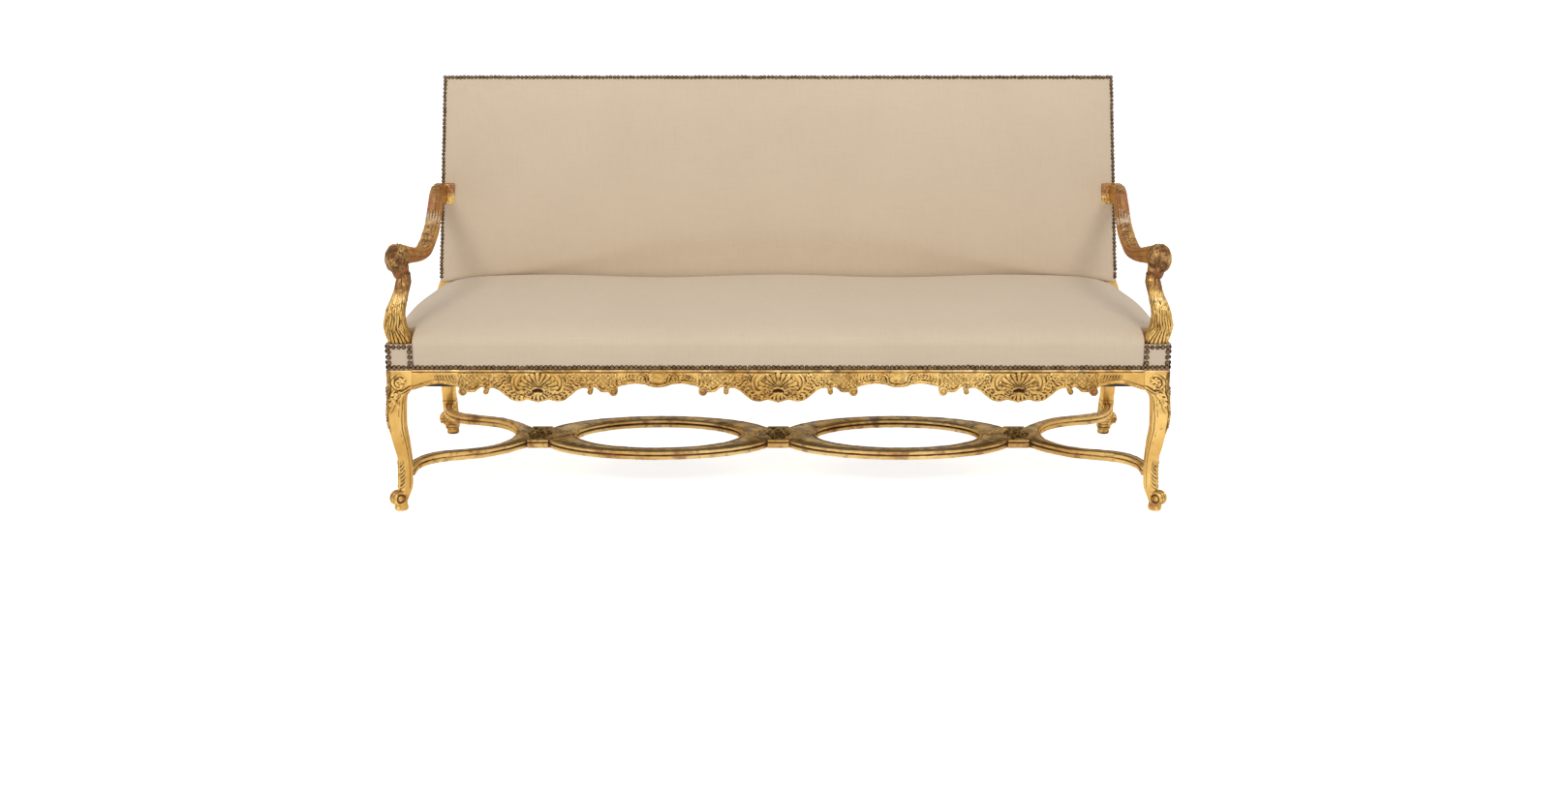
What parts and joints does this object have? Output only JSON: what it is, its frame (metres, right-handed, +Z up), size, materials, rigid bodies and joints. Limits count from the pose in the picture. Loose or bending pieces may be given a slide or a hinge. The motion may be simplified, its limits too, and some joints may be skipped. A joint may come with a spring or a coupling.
{
  "type": "sofa",
  "caption": "Open-arm sofa in carved gilded wood with a tight crowned seat and back, scroll-footed legs and a flat curved stretcher.",
  "frame": {"origin": "middle of the footprint's bounding box, on the floor", "axes": "+X along the width, to the right seen from the front; +Y from the front to the back; +Z up"},
  "size_m": [2.042, 0.7458, 1.0658],
  "materials": {
    "gilt_wood": "water gilding over red bole, rubbed and worn",
    "beech": "planed, unfinished",
    "linen_cover": "plain close weave, matt",
    "horsehair": "curled hair in wadding",
    "jute": "open plain weave",
    "black_cloth": "thin dust cloth",
    "spring_steel": "drawn wire"
  },
  "bodies": {
    "root": {"back_bottom_rail": "gilt_wood", "back_cover": "linen_cover", "back_seat_rail": "beech", "back_stuffing": "horsehair", "back_top_rail": "beech", "back_webbing": "jute", "bottom_cloth": "black_cloth", "centre_crossing": "gilt_wood", "coil_spring_01": "spring_steel", "coil_spring_02": "spring_steel", "coil_spring_03": "spring_steel", "coil_spring_04": "spring_steel", "coil_spring_05": "spring_steel", "coil_spring_06": "spring_steel", "coil_spring_07": "spring_steel", "coil_spring_08": "spring_steel", "coil_spring_09": "spring_steel", "coil_spring_10": "spring_steel", "coil_spring_11": "spring_steel", "coil_spring_12": "spring_steel", "front_left_corner_block": "beech", "front_left_leg": "gilt_wood", "front_right_corner_block": "beech", "front_right_leg": "gilt_wood", "front_seat_rail": "gilt_wood", "left_arm": "gilt_wood", "left_arm_support": "gilt_wood", "left_back_upright": "beech", "left_corner_cloth": "linen_cover", "left_crossing": "gilt_wood", "left_fork_front": "gilt_wood", "left_fork_rear": "gilt_wood", "left_oval_front": "gilt_wood", "left_oval_rear": "gilt_wood", "left_seat_brace": "beech", "left_seat_rail": "gilt_wood", "outside_back_cloth": "linen_cover", "rear_left_corner_block": "beech", "rear_left_post": "gilt_wood", "rear_right_corner_block": "beech", "rear_right_post": "gilt_wood", "right_arm": "gilt_wood", "right_arm_support": "gilt_wood", "right_back_upright": "beech", "right_corner_cloth": "linen_cover", "right_crossing": "gilt_wood", "right_fork_front": "gilt_wood", "right_fork_rear": "gilt_wood", "right_oval_front": "gilt_wood", "right_oval_rear": "gilt_wood", "right_seat_brace": "beech", "right_seat_rail": "gilt_wood", "seat_cover": "linen_cover", "seat_hessian": "jute", "seat_stuffing": "horsehair", "seat_webbing": "jute"}
  },
  "joints": []
}
